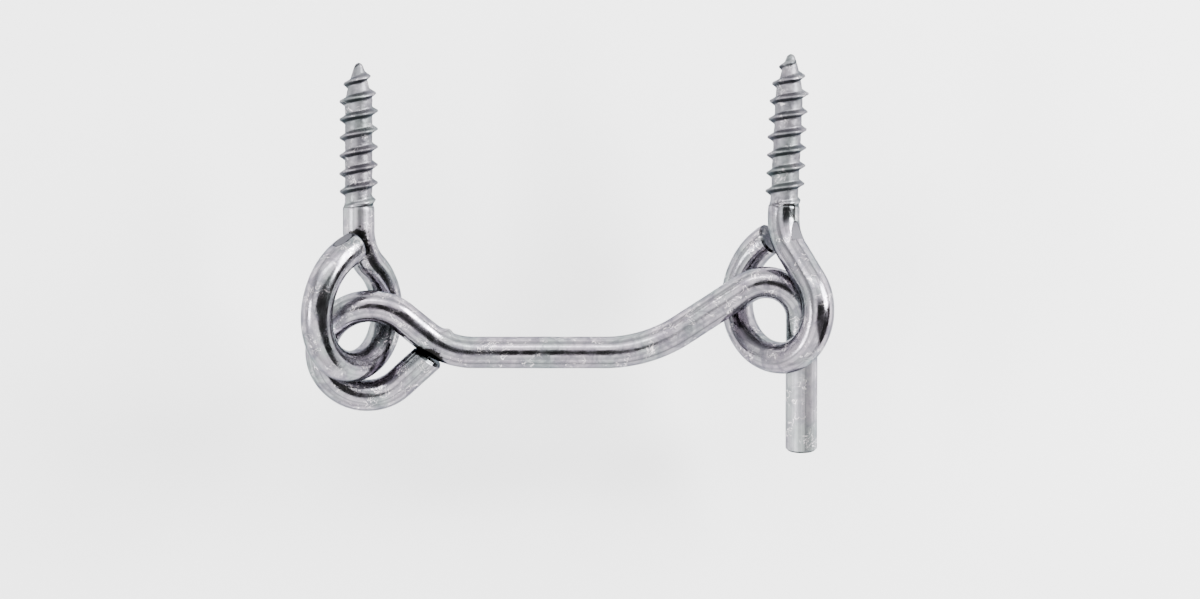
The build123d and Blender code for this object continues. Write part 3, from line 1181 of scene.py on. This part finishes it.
# White studio floor
floor_height = cad_low.z - FLOOR_GAP
corners = [(-1, -1), (1, -1), (1, 1), (-1, 1)]
floor_mesh = bpy.data.meshes.new("floor")
floor_mesh.from_pydata(
    [(x * FLOOR_REACH, y * FLOOR_REACH, floor_height) for x, y in corners], [], [(0, 1, 2, 3)]
)
floor = bpy.data.objects.new("floor", floor_mesh)
bpy.context.scene.collection.objects.link(floor)
# Matt white photographic paper
paper = bpy.data.materials.new("matt_white_paper")
paper.use_nodes = True
paper_shader = paper.node_tree.nodes["Principled BSDF"]
paper_shader.inputs["Base Color"].default_value = linear("#fafafa")
paper_shader.inputs["Roughness"].default_value = 0.95
floor_mesh.materials.append(paper)

# White studio tent with a dark gap, from overhead where the camera looks in down to its right side
world = bpy.data.worlds.new("studio_tent")
world.use_nodes = True
tent = world.node_tree
direction = add_node(tent, "ShaderNodeTexCoord").outputs["Generated"]
upward = add_node(tent, "ShaderNodeSeparateXYZ", None, {0: direction}).outputs["Z"]
along_gap = add_node(
    tent,
    "ShaderNodeVectorMath",
    {"operation": "DOT_PRODUCT"},
    {0: direction, 1: (math.cos(GAP_TURN), -math.sin(GAP_TURN), 0.0)},
).outputs["Value"]
across_gap = add_node(
    tent,
    "ShaderNodeVectorMath",
    {"operation": "DOT_PRODUCT"},
    {0: direction, 1: (math.sin(GAP_TURN), math.cos(GAP_TURN), 0.0)},
).outputs["Value"]
off_middle = add_node(
    tent, "ShaderNodeMath", {"operation": "ABSOLUTE"}, {0: across_gap}
).outputs["Value"]
ahead = add_node(
    tent, "ShaderNodeMath", {"operation": "MAXIMUM"}, {0: along_gap, 1: 0.0}
).outputs["Value"]
# The gap widens like a wedge ahead of the middle
past_wedge = add_node(
    tent,
    "ShaderNodeMath",
    {"operation": "MULTIPLY_ADD"},
    {0: ahead, 1: -GAP_WIDENING, 2: off_middle},
).outputs["Value"]
beside = add_node(
    tent,
    "ShaderNodeMapRange",
    {"interpolation_type": "SMOOTHSTEP"},
    {"Value": past_wedge, "From Min": 0.24, "From Max": 0.37},
).outputs["Result"]
behind_gap = add_node(
    tent,
    "ShaderNodeMapRange",
    {"interpolation_type": "SMOOTHSTEP"},
    {"Value": along_gap, "From Min": -0.24, "From Max": -0.12, "To Min": 1.0, "To Max": 0.0},
).outputs["Result"]
lit = add_node(
    tent, "ShaderNodeMath", {"operation": "MAXIMUM"}, {0: beside, 1: behind_gap}
).outputs["Value"]
past_gap = add_node(
    tent, "ShaderNodeMapRange", None, {"Value": lit, "To Min": 0.02, "To Max": 1.0}
).outputs["Result"]
# A dimmer band low on the left
from_left = add_node(
    tent, "ShaderNodeMapRange", None, {"Value": along_gap, "From Min": -1.0, "From Max": 1.0}
).outputs["Result"]
left_band = add_node(tent, "ShaderNodeValToRGB", None, {"Fac": from_left})
left_band.color_ramp.interpolation = "EASE"
left_band.color_ramp.elements[0].position = 0.03
left_band.color_ramp.elements[0].color = LIT
left_band.color_ramp.elements[1].position = 0.22
left_band.color_ramp.elements[1].color = LIT
for position in (0.08, 0.17):
    left_band.color_ramp.elements.new(position).color = DIMMED
past_band = add_node(
    tent,
    "ShaderNodeMapRange",
    {"interpolation_type": "SMOOTHSTEP"},
    {"Value": off_middle, "From Min": 0.36, "From Max": 0.5},
).outputs["Result"]
left_light = add_node(
    tent, "ShaderNodeMath", {"operation": "MAXIMUM"}, {0: left_band.outputs["Color"], 1: past_band}
).outputs["Value"]
wall_light = add_node(
    tent, "ShaderNodeMath", {"operation": "MULTIPLY"}, {0: past_gap, 1: left_light}
).outputs["Value"]
# The tent is brighter overhead than at the horizon
height_light = add_node(
    tent,
    "ShaderNodeMapRange",
    {"interpolation_type": "SMOOTHSTEP"},
    {"Value": upward, "From Min": 0.0, "From Max": 0.5, "To Min": 2.3, "To Max": 3.7},
).outputs["Result"]
tent_light = add_node(
    tent, "ShaderNodeMath", {"operation": "MULTIPLY"}, {0: wall_light, 1: height_light}
).outputs["Value"]
tent.links.new(tent_light, tent.nodes["Background"].inputs["Strength"])
tent.nodes["Background"].inputs["Color"].default_value = linear("#ffffff")
bpy.context.scene.world = world

# A low key light on the right and two weaker ones draw white streaks along the wire
for name, offset, size, power in SOFTBOXES:
    light = bpy.data.lights.new(name, "AREA")
    light.shape = "RECTANGLE"
    light.size, light.size_y = size
    light.energy = power
    lamp = bpy.data.objects.new(name, light)
    lamp.location = MIDDLE + Vector(offset)
    lamp.rotation_mode = "QUATERNION"
    lamp.rotation_quaternion = (-Vector(offset)).to_track_quat("-Z", "Y")
    bpy.context.scene.collection.objects.link(lamp)

camera_data = bpy.data.cameras.new("camera")
camera = bpy.data.objects.new("camera", camera_data)
bpy.context.scene.collection.objects.link(camera)
camera.location = (
    (MIDDLE_PIXEL[0] - ORIGIN_PIXEL[0]) * PIXEL_SIZE,
    (ORIGIN_PIXEL[1] - MIDDLE_PIXEL[1]) * PIXEL_SIZE,
    CAMERA_HEIGHT,
)
camera_data.sensor_width = 36.0
camera_data.lens = camera_data.sensor_width * CAMERA_HEIGHT / (PICTURE_PIXELS * PIXEL_SIZE)
camera_data.clip_start = 0.05
camera_data.clip_end = 50.0
bpy.context.scene.camera = camera
